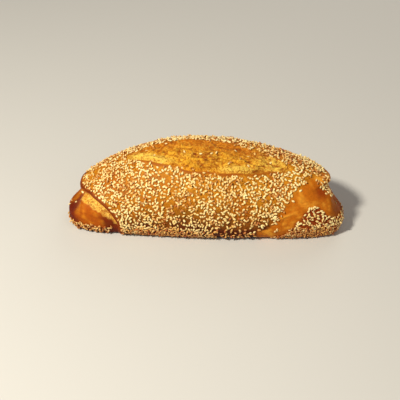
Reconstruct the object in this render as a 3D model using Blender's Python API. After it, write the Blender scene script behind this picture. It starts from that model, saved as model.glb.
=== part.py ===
"""Multigrain loaf: a batard rolled in sesame seed, burst open along its ridge, with a bare lobe at each
end of the seeded wrap.

Metres, +Z up. X runs along the loaf from the left tip to the right tip, -Y is the front, and the origin is
the middle of the flat base. The whole loaf is one solid, with the largest seeds of its coat fused to it.
"""

import math

import bmesh
import bpy
import numpy as np
from mathutils import Matrix, Vector

# The loaf as a whole.
LENGTH = 0.260
WIDTH = 0.106
HEIGHT = 0.0745
BELLY_HEIGHT = 0.015  # the widest line lies this high
BASE_SHARE = 0.78  # the flat base's share of the width
BASE_LIFT_X = 0.114  # beyond this the underside curves up to the tips
END_SWEEP = 0.0137  # both ends curve forwards by this much
PLAN_POWER, PLAN_ROOT = 1.45, 3.7  # how full the outline is in plan
PEAK_X = -0.010  # the ridge is highest here
REACH_LEFT, REACH_RIGHT = 0.160, 0.230  # where each side of the ridge's arch would meet the base
ARCH_POWER = 1.9
BLUNT_POWER = 14  # how late the ridge turns down at the tips
LEAN_X, LEAN_LEFT, LEAN_RIGHT = 0.116, 0.017, 0.013  # the end faces lean in by this much at full height
SET_LEFT, SET_RIGHT = 0.009, 0.009  # and the back of each end is set in, by this share of its width
HALF_LENGTH = LENGTH / 2

# The burst along the ridge: a raised front lip, a cleft behind it, and torn crust up to the back edge.
SPLIT_CENTRE_X = -0.002
SPLIT_LEFT, SPLIT_RIGHT = 0.073, 0.083  # from its centre to its two ends
# The lip's and the back edge's places are turns of the dome: 0 front belly, 0.5 ridge, 1 back belly.
TIP_TURN, TIP_SKEW = 0.435, 0.040  # where both meet at the burst's ends, a little lower at the right
LIP_BOW, EDGE_BOW = 0.130, 0.112  # how far each bows out between the ends
DOME_ARC = 0.200  # length of the dome's arc for a whole turn of 1
LIP_RISE, LIP_REACH = 0.0016, 0.008
ON_LIP = 0.00001  # a point this little behind the lip is still on it
CLEFT_DEPTH, CLEFT_FOOT, CLEFT_WIDTH = 0.0026, 0.0016, 0.008
BURST_SINK, BURST_STEP = 0.0012, 0.003
CRAG_HEIGHT = 0.0014
# Smooth swells of dough just behind the lip: x, distance behind the lip, half length, half width, height.
BURST_SWELLS = ((-0.052, 0.007, 0.016, 0.006, 0.0019), (0.029, 0.005, 0.013, 0.0045, 0.0016))

# The seeded wrap ends in a collar at each side, and the lobe of dough comes out from under it.
COLLAR_LEFT_X, COLLAR_LEFT_REACH, COLLAR_LEFT_POWER = -0.080, -0.039, 1.35
COLLAR_RIGHT_X, COLLAR_RIGHT_REACH, COLLAR_RIGHT_POWER = 0.069, 0.047, 1.9
LEDGE_LEFT, LEDGE_LEFT_RIDGE = 0.0028, 0.0045  # height of the step at the belly, and what the ridge adds
LEDGE_RIGHT, LEDGE_RIGHT_RIDGE = 0.0003, 0.0062
STEP_LEFT, STEP_RIGHT = 0.0015, 0.0035  # length of the step along the loaf
STEP_RIGHT_TURN = 0.25  # the right-hand step grows from here to the ridge, so the front runs out smoothly
RIM_RISE, RIM_REACH = 0.0014, 0.007  # the wrap lifts a little towards its edge
SWELL_LENGTH = 0.012  # the lobe swells back out over this length
SWELL_BELLY, SWELL_RIDGE = 0.55, 0.40  # by this share of the step's height

# Uneven hand-shaped dough.
WOBBLE_HEIGHT = 0.0011
WOBBLE_LENGTHS = (0.090, 0.060, 0.042, 0.030)
WOBBLE_SEED = 7
TIP_SHARE = 0.35  # relief fades out where the loaf is narrower than this share of its width

# Sesame seeds large enough to stand in the solid.
SEED_LENGTH, SEED_WIDTH, SEED_THICKNESS = 0.0033, 0.0021, 0.0013
SEED_COUNT = 220
SEED_SPACING = 0.0088
SEED_TRIES = 9000
SEED_SUNK = 0.15  # share of the thickness by which a seed's middle lies under the crust
SEED_TILT = math.radians(14)
SEED_EDGE = 0.005  # bare crust between the last seeds and the collar
SEED_LIP = 0.003  # and between them and the lip's edge
SCATTER_SEED = 11

# The grid that wraps the form: stations along the loaf, and lines around it.
LOBE_RINGS, SHELL_RINGS = 9, 33
FRONT_LINES, BURST_LINES, BACK_LINES, TUCK_LINES, BASE_LINES = 8, 5, 10, 3, 4
BURST_LEAST = 0.05  # least turn between the lip's line and the back edge's line, past the burst's ends
LEDGE_FOOT = 0.90  # station at which the ledge's foot lies, between the tip at 0 and the collar at 1
CLEFT_LINE = 1.10  # line at which the cleft's foot lies, between the lip at 1 and the back edge at 2

CRUST_COLOUR = (0.55, 0.25, 0.05, 1.0)
CRUST_ROUGHNESS = 0.55


def smooth(value):
    """0 below 0, 1 above 1, and an even S between them."""
    share = np.clip(value, 0.0, 1.0)
    return share * share * (3.0 - 2.0 * share)


# Outline of the loaf, by the place x along it


def plan_share(x):
    return np.clip(1.0 - np.abs(x / HALF_LENGTH) ** PLAN_POWER, 0.0, 1.0) ** (1.0 / PLAN_ROOT)


def ridge_height(x):
    reach = np.where(x < PEAK_X, REACH_LEFT, REACH_RIGHT)
    arch = 1.0 - (np.abs(x - PEAK_X) / reach) ** ARCH_POWER
    blunt = np.sqrt(np.clip(1.0 - np.abs(x / HALF_LENGTH) ** BLUNT_POWER, 0.0, 1.0))
    return BELLY_HEIGHT + (HEIGHT * arch - BELLY_HEIGHT) * blunt


def base_height(x):
    lift = np.clip((np.abs(x) - BASE_LIFT_X) / (HALF_LENGTH - BASE_LIFT_X), 0.0, 1.0)
    return BELLY_HEIGHT * (1.0 - np.sqrt(1.0 - lift * lift))


def section_point(x, turn):
    """A point of the plain form. Turn is 0 at the front belly line and runs over the dome to 1 at the back
    one, then to 2 and 3 at the base's back and front edges, and back up to 4 at the front belly line."""
    dome = np.pi * np.clip(turn, 0.0, 1.0)
    back = np.pi / 2 * np.clip(turn - 1.0, 0.0, 1.0)
    front = np.pi / 2 * np.clip(turn - 3.0, 0.0, 1.0)
    tuck = 1.0 - BASE_SHARE
    low = base_height(x)
    places = [turn <= 1.0, turn <= 2.0, turn <= 3.0]
    across = np.select(
        places,
        [-np.cos(dome), BASE_SHARE + tuck * np.cos(back), BASE_SHARE * (5.0 - 2.0 * turn)],
        -BASE_SHARE - tuck * np.sin(front),
    )
    height = np.select(
        places,
        [
            BELLY_HEIGHT + (ridge_height(x) - BELLY_HEIGHT) * np.sin(dome),
            low + (BELLY_HEIGHT - low) * (1.0 - np.sin(back)),
            low,
        ],
        low + (BELLY_HEIGHT - low) * (1.0 - np.cos(front)),
    )
    y = WIDTH / 2 * plan_share(x) * across - END_SWEEP * (x / HALF_LENGTH) ** 2
    near_tip = smooth((np.abs(x) - LEAN_X) / (HALF_LENGTH - LEAN_X))
    lift = np.maximum(height - BELLY_HEIGHT, 0.0) / (HEIGHT - BELLY_HEIGHT)
    lean = np.where(x < 0.0, LEAN_LEFT, LEAN_RIGHT) * lift * (2.0 - lift)
    set_in = np.where(x < 0.0, SET_LEFT, SET_RIGHT) * plan_share(x) * np.maximum(across, 0.0)
    return np.stack([x - np.sign(x) * near_tip * (lean + set_in), y, height], axis=-1)


def section_normal(x, turn):
    """The plain form's outward direction, from small steps along it and around it."""
    step_x, step_turn = 1e-5, 1e-4
    along = section_point(np.minimum(x + step_x, HALF_LENGTH), turn) - section_point(
        np.maximum(x - step_x, -HALF_LENGTH), turn
    )
    around = section_point(x, turn + step_turn) - section_point(x, np.abs(turn - step_turn))
    normal = np.cross(along, around)
    size = np.linalg.norm(normal, axis=-1, keepdims=True)
    tip = np.stack([np.sign(x), np.zeros_like(x), np.zeros_like(x)], axis=-1)
    return np.where(size > 1e-14, normal / np.maximum(size, 1e-14), tip)


# Lines on the form


def level(turn):
    """0.5 at the ridge, 0 at the belly on both sides, and -1 at the base's edges and under the base."""
    return np.maximum(np.minimum(turn, np.maximum(1.0 - turn, turn - 4.0)), -1.0)


def dome_rise(turn):
    """0 at the belly and under it, 1 at the ridge."""
    return np.sin(np.pi * np.maximum(level(turn), 0.0))


def collar_left(turn):
    return COLLAR_LEFT_X + COLLAR_LEFT_REACH * dome_rise(turn) ** COLLAR_LEFT_POWER


def collar_right(turn):
    return COLLAR_RIGHT_X + COLLAR_RIGHT_REACH * dome_rise(turn) ** COLLAR_RIGHT_POWER


def split_place(x):
    """-1 at the burst's left end, 0 at its centre and 1 at its right end."""
    reach = np.where(x < SPLIT_CENTRE_X, SPLIT_LEFT, SPLIT_RIGHT)
    return np.clip((x - SPLIT_CENTRE_X) / reach, -1.0, 1.0)


def ragged(x):
    """The torn edges wander by this part of a turn."""
    return 0.0040 * np.sin(x / 0.0079) + 0.0030 * np.sin(x / 0.0047 + 1.3)


def lip_turn(x):
    place = split_place(x)
    return TIP_TURN - TIP_SKEW * place - (LIP_BOW - ragged(x)) * (1.0 - place**2)


def edge_turn(x):
    place = split_place(x)
    return TIP_TURN - TIP_SKEW * place + (EDGE_BOW + ragged(x + 0.05)) * np.sqrt(1.0 - place**2)


# Relief, as a height along the outward direction


def wobble(points):
    """Broad unevenness from a few fixed waves, between about -1 and 1."""
    draw = np.random.default_rng(WOBBLE_SEED)
    height = np.zeros(points.shape[:-1])
    for length in WOBBLE_LENGTHS:
        direction = draw.normal(size=3)
        direction /= np.linalg.norm(direction)
        height += np.sin(points @ direction * 2.0 * np.pi / length + draw.uniform(0.0, 2.0 * np.pi))
    return height / len(WOBBLE_LENGTHS)


def crags(x, turn):
    """Lumps and tears of the burst crust, between about -1 and 1."""
    across = turn * DOME_ARC
    broad = np.sin(x / 0.0052 + 2.0 * np.sin(across / 0.006)) * np.cos(across / 0.0045 + x / 0.021)
    fine = np.sin(x / 0.0027 + across / 0.0040) * np.sin(across / 0.0026 - x / 0.009)
    return 0.65 * broad + 0.35 * fine


def burst_swells(x, past_lip):
    height = np.zeros_like(x)
    for centre, behind, half_length, half_width, rise in BURST_SWELLS:
        along, across = (x - centre) / half_length, (past_lip - behind) / half_width
        height += rise * np.exp(-(along**2) - across**2)
    return height


def split_relief(x, turn):
    """The burst's relief: the lip before it, the cleft and torn crust in it, and nothing behind it."""
    past_lip = (turn - lip_turn(x)) * DOME_ARC
    before_edge = (edge_turn(x) - turn) * DOME_ARC
    strength = smooth((1.0 - np.abs(split_place(x))) * 4.0)
    lip = LIP_RISE * np.exp(np.minimum(past_lip, 0.0) / LIP_REACH)
    cleft = -CLEFT_DEPTH * (1.0 - smooth(past_lip / CLEFT_WIDTH))
    torn = CRAG_HEIGHT * crags(x, turn) * smooth(past_lip / CLEFT_WIDTH) - BURST_SINK
    inside = cleft + burst_swells(x, past_lip) + torn * smooth(before_edge / BURST_STEP)
    return strength * np.select([past_lip <= ON_LIP, before_edge > 0.0], [lip, inside], 0.0)


def ledge_relief(past_collar, step, belly, ridge, rise):
    """The wrap's lifted rim, and the drop from it to the lobe, which swells back part of the way."""
    rim = RIM_RISE * rise * np.exp(-np.abs(past_collar) / RIM_REACH)
    swell = SWELL_BELLY + (SWELL_RIDGE - SWELL_BELLY) * rise
    drop = (belly + ridge * rise) * smooth(past_collar / step)
    return rim - drop * (1.0 - swell * smooth((past_collar - step) / SWELL_LENGTH))


def relief(x, turn, plain):
    rise = dome_rise(turn) ** 2
    height = split_relief(x, turn)
    height += ledge_relief(collar_left(turn) - x, STEP_LEFT, LEDGE_LEFT, LEDGE_LEFT_RIDGE, rise)
    rise_right = rise * smooth((turn - STEP_RIGHT_TURN) / (0.5 - STEP_RIGHT_TURN))
    height += ledge_relief(x - collar_right(turn), STEP_RIGHT, LEDGE_RIGHT, LEDGE_RIGHT_RIDGE, rise_right)
    height += WOBBLE_HEIGHT * wobble(plain)
    return height * smooth(1.0 + level(turn)) * smooth(plan_share(x) / TIP_SHARE)


def crust_point(x, turn):
    plain = section_point(x, turn)
    return plain + section_normal(x, turn) * relief(x, turn, plain)[..., None]


# The grid


def plan_to_x(share):
    """The distance from the middle at which the outline in plan has this share of the full width."""
    return HALF_LENGTH * (1.0 - share**PLAN_ROOT) ** (1.0 / PLAN_POWER)


def lobe_x(station, collar, step):
    """Distance from the middle: the tip at station 0, the step's foot at LEDGE_FOOT, the collar at 1."""
    foot = collar + step
    share = plan_share(foot) * station / LEDGE_FOOT
    inner = (station - LEDGE_FOOT) / (1.0 - LEDGE_FOOT)
    return np.where(station <= LEDGE_FOOT, plan_to_x(np.minimum(share, 1.0)), foot - step * inner)


def station_x(station, line):
    """x along the loaf for a station: 0 left tip, 1 left collar, 2 right collar, 3 right tip."""
    left = collar_left(line_turn(line, np.full_like(line, -HALF_LENGTH)))
    right = collar_right(line_turn(line, np.full_like(line, HALF_LENGTH)))
    middle = left + (right - left) * (station - 1.0)
    on_left = -lobe_x(np.clip(station, 0.0, 1.0), -left, STEP_LEFT)
    on_right = lobe_x(np.clip(3.0 - station, 0.0, 1.0), right, STEP_RIGHT)
    return np.where(station <= 1.0, on_left, np.where(station >= 2.0, on_right, middle))


def line_turn(line, x):
    """The turn of a line around the loaf: 0 and 6 are the front belly line, 1 is the lip, 2 the back edge,
    3 the back belly line, and 4 and 5 are the base's edges."""
    lip = lip_turn(x)
    edge = lip + np.maximum(edge_turn(x) - lip, BURST_LEAST)
    foot = lip + np.minimum(CLEFT_FOOT / DOME_ARC, (edge - lip) * 0.3)
    return np.select(
        [line <= 1.0, line <= CLEFT_LINE, line <= 2.0, line <= 3.0],
        [
            line * lip,
            lip + (line - 1.0) / (CLEFT_LINE - 1.0) * (foot - lip),
            foot + (line - CLEFT_LINE) / (2.0 - CLEFT_LINE) * (edge - foot),
            edge + (line - 2.0) * (1.0 - edge),
        ],
        line - 2.0,
    )


def spread(start, end, count):
    """Evenly spaced values from start, without the end."""
    return list(np.linspace(start, end, count, endpoint=False))


def grid_stations():
    lobe = spread(0.0, LEDGE_FOOT, LOBE_RINGS) + [LEDGE_FOOT]
    shell = spread(1.0, 2.0, SHELL_RINGS) + [2.0]
    return np.array(lobe + shell + [3.0 - station for station in reversed(lobe)])


def grid_lines():
    lines = spread(0.0, 1.0, FRONT_LINES)
    lines += [1.0] + spread(CLEFT_LINE, 2.0, BURST_LINES)
    lines += spread(2.0, 3.0, BACK_LINES)
    lines += spread(3.0, 4.0, TUCK_LINES)
    lines += spread(4.0, 5.0, BASE_LINES)
    return np.array(lines + spread(5.0, 6.0, TUCK_LINES))


def grid_points(stations, lines):
    station, line = np.meshgrid(stations, lines, indexing="ij")
    x = station_x(station, line)
    return crust_point(x, line_turn(line, x))


def make_crust(material):
    """The loaf's skin: a sphere primitive whose rings and segments are moved onto the form."""
    stations, lines = grid_stations(), grid_lines()
    rings, segments = len(stations) - 1, len(lines)
    points = grid_points(stations, lines)
    sphere = bmesh.new()
    bmesh.ops.create_uvsphere(sphere, u_segments=segments, v_segments=rings, radius=1.0)
    for vertex in sphere.verts:
        polar = math.acos(max(-1.0, min(1.0, vertex.co.z)))
        azimuth = math.atan2(-vertex.co.x, vertex.co.y)  # from +Y, where the first segment lies
        ring = round(polar / math.pi * rings)
        segment = round(azimuth / math.tau * segments) % segments
        vertex.co = Vector(points[ring, segment])
    bmesh.ops.triangulate(sphere, faces=sphere.faces)
    mesh = bpy.data.meshes.new("loaf")
    sphere.to_mesh(mesh)
    sphere.free()
    mesh.materials.append(material)
    return bpy.data.objects.new("loaf", mesh)


# The seeds


def in_seed_coat(x, turn):
    """True where the loaf was rolled in seed."""
    height = level(turn)
    past_lip = (turn - lip_turn(x)) * DOME_ARC
    before_edge = (edge_turn(x) - turn) * DOME_ARC
    in_split = (past_lip > -SEED_LIP) & (before_edge > -0.001)
    on_wrap = (x > collar_left(turn) + SEED_EDGE) & (x < collar_right(turn) - SEED_EDGE)
    bare_foot = (np.abs(x - 0.032) < 0.034) & (height < 0.0)
    wrap = on_wrap & ~in_split & ~bare_foot & (height > -0.45)
    left_foot = (x < -0.094) & (height < -0.18) & (height > -0.6)
    right_corner = (x > 0.093) & (height < 0.14) & (height > -0.6)
    return wrap | left_foot | right_corner


def scatter():
    """Places (x, turn) for the seeds: random darts on the coat, each one clear of those before it."""
    draw = np.random.default_rng(SCATTER_SEED)
    tries_x = draw.uniform(-0.5, 0.5, SEED_TRIES) * LENGTH * 0.97
    tries_turn = draw.uniform(-0.6, 1.6, SEED_TRIES) % 4.0
    points = crust_point(tries_x, tries_turn)
    coated = in_seed_coat(tries_x, tries_turn)
    kept = []
    for index in np.flatnonzero(coated):
        gaps = np.linalg.norm(points[kept] - points[index], axis=1)
        if len(kept) < SEED_COUNT and (gaps > SEED_SPACING).all():
            kept.append(index)
    return tries_x[kept], tries_turn[kept]


def crust_frames(x, turn):
    """Points on the relieved crust and the outward direction at each."""
    step_x, step_turn = 4e-4, 2e-3
    along = crust_point(x + step_x, turn) - crust_point(x - step_x, turn)
    around = crust_point(x, turn + step_turn) - crust_point(x, np.abs(turn - step_turn))
    normals = np.cross(along, around)
    return crust_point(x, turn), normals / np.linalg.norm(normals, axis=-1, keepdims=True)


def make_seed_mesh():
    """A sesame seed: a flattened drop, blunt at one end and pointed at the other."""
    seed = bmesh.new()
    bmesh.ops.create_icosphere(seed, subdivisions=1, radius=0.5)
    for vertex in seed.verts:
        taper = 1.0 - 0.5 * (vertex.co.x + 0.5)
        vertex.co.x *= SEED_LENGTH
        vertex.co.y *= SEED_WIDTH * (0.62 + 0.76 * taper)
        vertex.co.z *= SEED_THICKNESS
    mesh = bpy.data.meshes.new("seed")
    seed.to_mesh(mesh)
    seed.free()
    return mesh


def make_seeds(collection):
    draw = np.random.default_rng(SCATTER_SEED + 1)
    mesh = make_seed_mesh()
    points, normals = crust_frames(*scatter())
    for index, (point, normal) in enumerate(zip(points, normals)):
        seed = bpy.data.objects.new(f"seed_{index}", mesh)
        spin = Matrix.Rotation(draw.uniform(0.0, math.tau), 4, "Z")
        tilt = Matrix.Rotation(draw.uniform(-SEED_TILT, SEED_TILT), 4, "Y")
        facing = Vector(normal).to_track_quat("Z", "Y").to_matrix().to_4x4()
        place = Matrix.Translation(Vector(point - normal * SEED_THICKNESS * SEED_SUNK))
        size = Matrix.Scale(draw.uniform(0.92, 1.12), 4)
        seed.matrix_world = place @ facing @ spin @ tilt @ size
        collection.objects.link(seed)


def fuse(loaf, collection):
    """Joins the seeds to the crust with one Boolean union, keeps its result and removes the seeds."""
    union = loaf.modifiers.new("seeds", "BOOLEAN")
    union.operation = "UNION"
    union.operand_type = "COLLECTION"
    union.collection = collection
    union.solver = "EXACT"
    bpy.context.view_layer.update()
    fused = bpy.data.meshes.new_from_object(loaf.evaluated_get(bpy.context.evaluated_depsgraph_get()))
    loaf.modifiers.clear()
    loaf.data = fused
    for seed in list(collection.objects):
        bpy.data.objects.remove(seed)
    bpy.data.collections.remove(collection)


def make_crust_material():
    material = bpy.data.materials.new("crust")
    material.use_nodes = True
    shader = material.node_tree.nodes["Principled BSDF"]
    shader.inputs["Base Color"].default_value = CRUST_COLOUR
    shader.inputs["Roughness"].default_value = CRUST_ROUGHNESS
    shader.inputs["Metallic"].default_value = 0.0
    material.diffuse_color = CRUST_COLOUR
    return material


def main():
    for leftover in list(bpy.data.objects):
        bpy.data.objects.remove(leftover)
    bread = bpy.data.collections.new("multigrain_loaf")
    seeds = bpy.data.collections.new("seeds")
    bpy.context.scene.collection.children.link(bread)
    bpy.context.scene.collection.children.link(seeds)
    loaf = make_crust(make_crust_material())
    bread.objects.link(loaf)
    make_seeds(seeds)
    fuse(loaf, seeds)
    loaf.data.shade_smooth()
    loaf.data.set_sharp_from_angle(angle=math.radians(50))


main()
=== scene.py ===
"""The multigrain loaf dressed: browned, torn crust in the form of the solid, and its coat of sesame."""

import math

import bmesh
import bpy
import numpy as np
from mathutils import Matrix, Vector

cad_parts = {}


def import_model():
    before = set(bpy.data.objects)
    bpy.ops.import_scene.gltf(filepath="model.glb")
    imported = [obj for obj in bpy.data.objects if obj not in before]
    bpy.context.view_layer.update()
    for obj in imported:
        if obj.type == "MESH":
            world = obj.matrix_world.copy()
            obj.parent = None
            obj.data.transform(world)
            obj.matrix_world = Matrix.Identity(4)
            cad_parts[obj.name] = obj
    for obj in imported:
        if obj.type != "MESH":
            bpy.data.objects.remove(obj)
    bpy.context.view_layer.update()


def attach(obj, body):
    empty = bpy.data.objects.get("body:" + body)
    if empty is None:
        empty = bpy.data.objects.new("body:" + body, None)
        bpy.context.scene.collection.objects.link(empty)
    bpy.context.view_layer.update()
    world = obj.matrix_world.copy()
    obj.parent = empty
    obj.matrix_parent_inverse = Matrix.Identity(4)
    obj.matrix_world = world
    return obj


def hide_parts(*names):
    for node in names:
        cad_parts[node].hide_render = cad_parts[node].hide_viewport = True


# The loaf's form, in metres, as the solid has it. "Turn" is the place around the loaf: 0 at the front belly
# line, 0.5 at the ridge, 1 at the back belly line, 2 and 3 at the base's back and front edges, and 4 at the
# front belly line again.
LENGTH = 0.260
WIDTH = 0.106
HEIGHT = 0.0745
BELLY_HEIGHT = 0.015
BASE_SHARE = 0.78  # the base's width as a share of the belly's
BASE_LIFT_X = 0.114  # past this the base rounds up
END_SWEEP = 0.0137  # how far forward the tips bend
PLAN_POWER, PLAN_ROOT = 1.45, 3.7
PEAK_X = -0.010  # where the ridge is highest
REACH_LEFT, REACH_RIGHT = 0.160, 0.230  # from the peak to where the ridge's arch would meet the table
ARCH_POWER = 1.9
BLUNT_POWER = 14
LEAN_X, LEAN_LEFT, LEAN_RIGHT = 0.116, 0.017, 0.013  # past this x the tops of the ends lean in by these
SET_LEFT, SET_RIGHT = 0.009, 0.009  # how far the backs of the ends are set in
SET_BLEND = 0.40  # over this share of the half width the set-in starts softly
HALF_LENGTH = LENGTH / 2
TIP_SHARE = 0.35  # where the plan is narrower than this share, the relief fades
DOME_ARC = 0.200  # metres over the dome for one unit of turn

# The burst along the ridge.
SPLIT_CENTRE_X = -0.002
SPLIT_LEFT, SPLIT_RIGHT = 0.073, 0.083
TIP_TURN, TIP_SKEW = 0.435, 0.040  # the turn of its tips, this much more on the left and less on the right
LIP_BOW, EDGE_BOW = 0.130, 0.112  # how far the lip bows forward and the back edge backward, in turn
LIP_RISE, LIP_REACH = 0.0016, 0.008
ON_LIP = 0.00001  # points this little past the lip are still on it
CLEFT_DEPTH, CLEFT_FOOT, CLEFT_WIDTH = 0.0026, 0.0016, 0.008
BURST_SINK, BURST_STEP = 0.0012, 0.003
CRAG_HEIGHT = 0.0014
# The smooth swells: x, distance behind the lip, half length, half width and rise of each.
BURST_SWELLS = ((-0.052, 0.007, 0.016, 0.006, 0.0019), (0.029, 0.005, 0.013, 0.0045, 0.0016))
BURST_LEAST = 0.05  # the least turn between the grid's lines on the lip and on the back edge

# The collars, where the seeded wrap ends and the lobes come out from under it.
COLLAR_LEFT_X, COLLAR_LEFT_REACH, COLLAR_LEFT_POWER = -0.080, -0.039, 1.35
COLLAR_RIGHT_X, COLLAR_RIGHT_REACH, COLLAR_RIGHT_POWER = 0.069, 0.047, 1.9
LEDGE_LEFT, LEDGE_LEFT_RIDGE = 0.0028, 0.0045
LEDGE_RIGHT, LEDGE_RIGHT_RIDGE = 0.0003, 0.0062
STEP_LEFT, STEP_RIGHT = 0.0015, 0.0035
STEP_RIGHT_TURN = 0.25
RIM_RISE, RIM_REACH = 0.0014, 0.007
SWELL_LENGTH = 0.012
SWELL_BELLY, SWELL_RIDGE = 0.55, 0.40
WOBBLE_HEIGHT = 0.0011
WOBBLE_LENGTHS = (0.090, 0.060, 0.042, 0.030)
WOBBLE_SEED = 7

# Detail that is too fine for the solid.
TORN_EDGE = 0.0009  # how far the collars' torn edges wander along the loaf
SKIN_HEIGHT, TEAR_HEIGHT, FIBRE_HEIGHT = 0.00055, 0.0013, 0.0005
BAND_WIDTH = 0.0125  # the pale torn band beside the left collar
CREASE_HEIGHT, CREASE_WIDTH = 0.0008, 0.0014
CREASE_LINE = (0.068, 0.066, 0.084, 0.118)  # x and turn at its low end, then at its high end
SWELL_CALM = 0.75  # how much of the torn lumps a pale swell smooths away
SWELL_SMOOTH, SWELL_PALE = 0.0012, 0.0008  # the rise of a swell that calms the lumps fully, or is fully pale
LIP_BARE = 0.0026  # bare reddish rim of the wrap along the burst's lip

# Small places on the right end: the x of the middle, the reach along x, and the same for turn.
TUFT = (0.1145, 0.0060, 0.375, 0.050)
NOTCH = (0.1060, 0.0045, 0.408, 0.022)
# A painted shadow beside the tuft, in the patch's dark red.
TUFT_SHADOW = (0.1085, 0.0070, 0.29, 0.060)
TIP_GAP = (0.1205, 0.003, 0.39, 0.05)

# The grid that wraps the form.
LOBE_RINGS, LEDGE_RINGS, SHELL_RINGS = 52, 6, 196
FRONT_LINES, WALL_LINES, BURST_LINES, BACK_LINES, TUCK_LINES, BASE_LINES = 66, 4, 58, 76, 24, 18
LEDGE_FOOT = 0.90  # the station at the foot of a collar's ledge
CLEFT_LINE = 1.10  # the line at the foot of the cleft

# The seeds.
SEED_LENGTH, SEED_WIDTH, SEED_THICKNESS = 0.0032, 0.0021, 0.0012
SEED_SEGMENTS, SEED_RINGS = 8, 5
SEED_GAP = 0.00170  # least distance between two seeds' middles
SEED_TRIES, END_TRIES = 55000, 9000  # along the loaf, and on the blunt faces of its two ends
SEED_REACH = 0.985  # how far out from the middle the seeds go, as a share of the half length
END_MIDDLE = 0.02  # the least plan share of a seed on an end's face
SEED_SCALES, SIDE_SCALES = (0.86, 1.14), (0.93, 1.07)  # how the size of a seed varies, and that of each side
# The seeds' tilt and roll: the share that lies askew, the spread of its angles, and that of the rest's.
SEED_TILT, SEED_ROLL = (0.25, 0.75, 0.22), (0.20, 0.90, 0.25)
STEP_ALONG, STEP_TURN = 4e-4, 2e-3  # steps for the slope of the crust under a seed
BURST_STRAY, BARE_STRAY = 0.016, 0.001  # share of a full coat that strays onto the burst and the bare crust
STRAY_HEIGHT = 0.012  # no seed strays lower than this
TOASTED_HEAT = 0.74
SEED_RIGHT_X, SEED_RIGHT_SLANT = 0.0605, 0.102  # where the coat ends on the right, and its slant per turn
SEED_EDGE, SEED_EDGE_BEHIND = 0.0028, 0.002  # bare rim at the left collar, and at the right one behind
THIN_FOOT_X = (-0.012, 0.012, 0.060, 0.075)  # the front foot has few seeds here, with a soft start and end
SCATTER_SEED = 11

# The seeded corner on the right: places along the loaf, and how high the seeds reach at each.
CORNER_X = (0.060, 0.076, 0.085, 0.093, 0.100, 0.106, 0.113, 0.120, 0.130)
CORNER_TOP = (0.004, 0.010, 0.020, 0.031, 0.034, 0.033, 0.027, 0.024, 0.017)

# The noises: the size of the largest features in metres, the number of layers, and the seed.
TORN_LEFT, TORN_RIGHT = (0.009, 3, 21), (0.009, 3, 22)
TORN_SPLIT, TORN_BAND = (0.008, 3, 23), (0.0045, 3, 31)
SKIN, TORN_FIBRES = (0.010, 4, 41), (0.0032, 3, 43)
LARGE_LUMPS, SMALL_LUMPS = (0.0070, 2, 42), (0.0034, 2, 44)
COAT_MOTTLE, BURST_MOTTLE = (0.016, 4, 51), (0.011, 4, 52)
LEFT_MOTTLE, RIGHT_MOTTLE = (0.008, 4, 55), (0.010, 4, 57)
SPECKS, SPECK_PATCHES, VEINS = (0.0030, 2, 53), (0.016, 2, 54), (0.0085, 3, 66)
BAND_FIBRES, LOBE_SPOTS = (0.0028, 3, 56), (0.0050, 4, 63)
PATCH_STREAKS, FLOUR = (0.0042, 3, 58), (0.012, 4, 59)
COAT_UNEVEN, COAT_CLUMPS = (0.012, 3, 61), (0.0045, 2, 64)
LIP_UNEVEN, OVEN_HEAT = (0.010, 2, 65), (0.020, 2, 62)

# The photograph's frame: 400 pixels square, with the loaf's middle at this pixel and this scale.
FRAME_PIXELS = 400
LOAF_PIXEL = (205.7, 178.9)
METRES_PER_PIXEL = 0.000956
LOOK_AT = Vector((0.0, 0.0, 0.035))
CAMERA_AZIMUTH, CAMERA_ELEVATION, CAMERA_DISTANCE = math.radians(1.8), math.radians(35), 0.95
SENSOR_WIDTH = 36.0  # millimetres

# The studio. Each light is a disk: its name, place, size, power and colour.
LIGHTS = (
    ("key", (-0.63, -0.60, 1.02), 0.20, 20.5, (1.0, 0.955, 0.83)),
    ("fill", (0.9, -0.9, 0.7), 1.0, 2.0, (1.0, 0.96, 0.90)),
    ("back", (0.5, 1.1, 0.7), 1.0, 4.0, (1.0, 0.95, 0.86)),
)
SKY_COLOUR, SKY_STRENGTH = (1.0, 0.96, 0.90, 1.0), 0.17
FLOOR_HALF, FLOOR_COLOUR, FLOOR_ROUGHNESS = 3.0, (0.62, 0.60, 0.57, 1.0), 0.8


def srgb(red, green, blue):
    """A display colour, 0 to 255, as linear light."""
    share = np.array([red, green, blue]) / 255.0
    return np.where(share <= 0.04045, share / 12.92, ((share + 0.055) / 1.055) ** 2.4)


# The coat's brown is also painted shade, towards the foot and in the gaps between the seeds.
COAT_GOLD, COAT_AMBER, COAT_BROWN_AND_SHADE = srgb(212, 142, 26), srgb(178, 94, 12), srgb(88, 34, 6)
# The burst's pale is the dough's own colour and also painted light on the swells and on the tops of its
# crumbs.
BURST_PALE_AND_LIGHT, BURST_GOLD, BURST_BACK = srgb(255, 212, 90), srgb(244, 176, 44), srgb(208, 122, 22)
# The furrow colour is painted shade in the low furrows and pits of the torn dough.
FURROW_SHADE, FLECK = srgb(176, 92, 12), srgb(126, 42, 6)
BAND_PALE, BAND_GOLD = srgb(255, 212, 102), srgb(234, 160, 48)
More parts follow.
